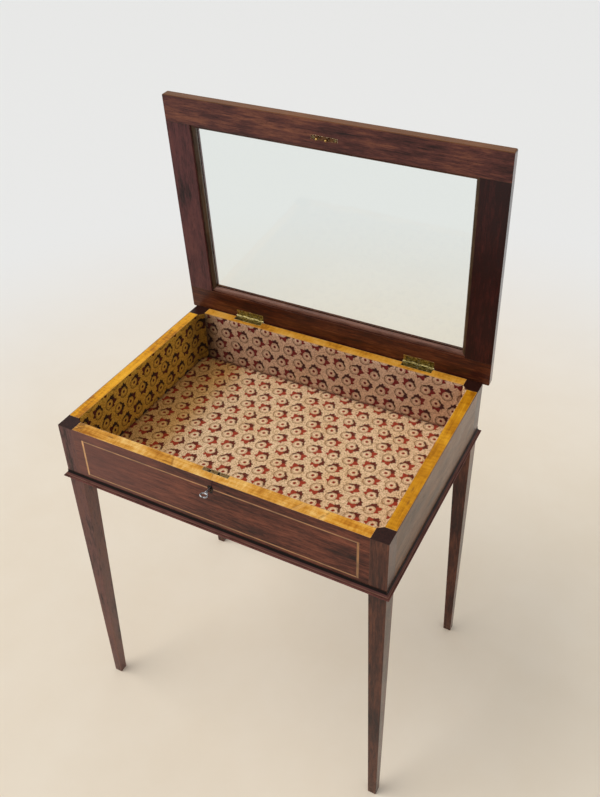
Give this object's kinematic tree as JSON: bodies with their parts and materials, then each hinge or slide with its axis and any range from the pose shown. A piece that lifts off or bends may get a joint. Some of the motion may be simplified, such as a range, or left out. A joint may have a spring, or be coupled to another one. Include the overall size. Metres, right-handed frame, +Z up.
{
  "type": "glazed display table",
  "caption": "Free-standing display table: a shallow cloth-lined case on tapered legs, with a hinged glazed lid that a key locks.",
  "frame": {"origin": "on the floor under the middle of the whole outline, with the lid standing open", "axes": "+Z up, +X to the right along the front, the front faces -Y"},
  "size_m": [0.671, 0.5048, 1.195],
  "materials": {
    "mahogany": "old wax polish",
    "pale_wood": "satin",
    "stringing": "satin",
    "board": "raw",
    "lining": "printed cotton",
    "glass": "clear",
    "brass": "aged",
    "steel": "worn"
  },
  "bodies": {
    "table": {"leg_front_left": "mahogany", "leg_front_right": "mahogany", "leg_back_left": "mahogany", "leg_back_right": "mahogany", "veneer_front": "mahogany", "veneer_back": "mahogany", "veneer_left": "mahogany", "veneer_right": "mahogany", "moulding_front": "mahogany", "moulding_back": "mahogany", "moulding_left": "mahogany", "moulding_right": "mahogany", "rail_front": "pale_wood", "rail_back": "pale_wood", "rail_left": "pale_wood", "rail_right": "pale_wood", "stringing_left": "stringing", "stringing_right": "stringing", "stringing_bottom": "stringing", "stringing_top_left": "stringing", "stringing_top_right": "stringing", "bottom_board": "board", "lining_floor": "lining", "lining_front": "lining", "lining_back": "lining", "lining_left": "lining", "lining_right": "lining", "lock_case": "brass", "lock_back_plate": "brass", "lock_top_plate": "brass", "hinge_left_case_leaf": "brass", "hinge_left_pin": "brass", "hinge_right_case_leaf": "brass", "hinge_right_pin": "brass", "lock_spring": "steel", "lock_screws": "steel", "hinge_left_case_screws": "steel", "hinge_right_case_screws": "steel"},
    "lid": {"lid_front_rail": "mahogany", "lid_hinge_rail": "mahogany", "lid_stile_left": "mahogany", "lid_stile_right": "mahogany", "lid_glass": "glass", "lid_bead_front": "mahogany", "lid_bead_back": "mahogany", "lid_bead_left": "mahogany", "lid_bead_right": "mahogany", "link_plate": "brass", "link_plate_screws": "steel", "hinge_left_lid_leaf": "brass", "hinge_left_lid_screws": "steel", "hinge_right_lid_leaf": "brass", "hinge_right_lid_screws": "steel"},
    "bolt": {"lock_bolt": "brass"},
    "key": {"key": "steel"}
  },
  "joints": [
    {"name": "lid_hinge", "type": "hinge", "parent": "table", "child": "lid", "pos_m": [0, 0.23361, 0.7223], "axis": [1, 0, 0], "range_deg": [-8, 86.5]},
    {"name": "key_turn", "type": "hinge", "parent": "table", "child": "key", "pos_m": [0, -0.22539, 0.704], "axis": [0, 1, 0], "range_deg": [0, 180]},
    {"name": "bolt_slide", "type": "slide", "parent": "table", "child": "bolt", "axis": [1, 0, 0], "range_m": [0, 0.004]}
  ],
  "couplings": [
    {"joint": "key_turn", "follows": "bolt_slide", "rad_per_m": 785.4}
  ]
}
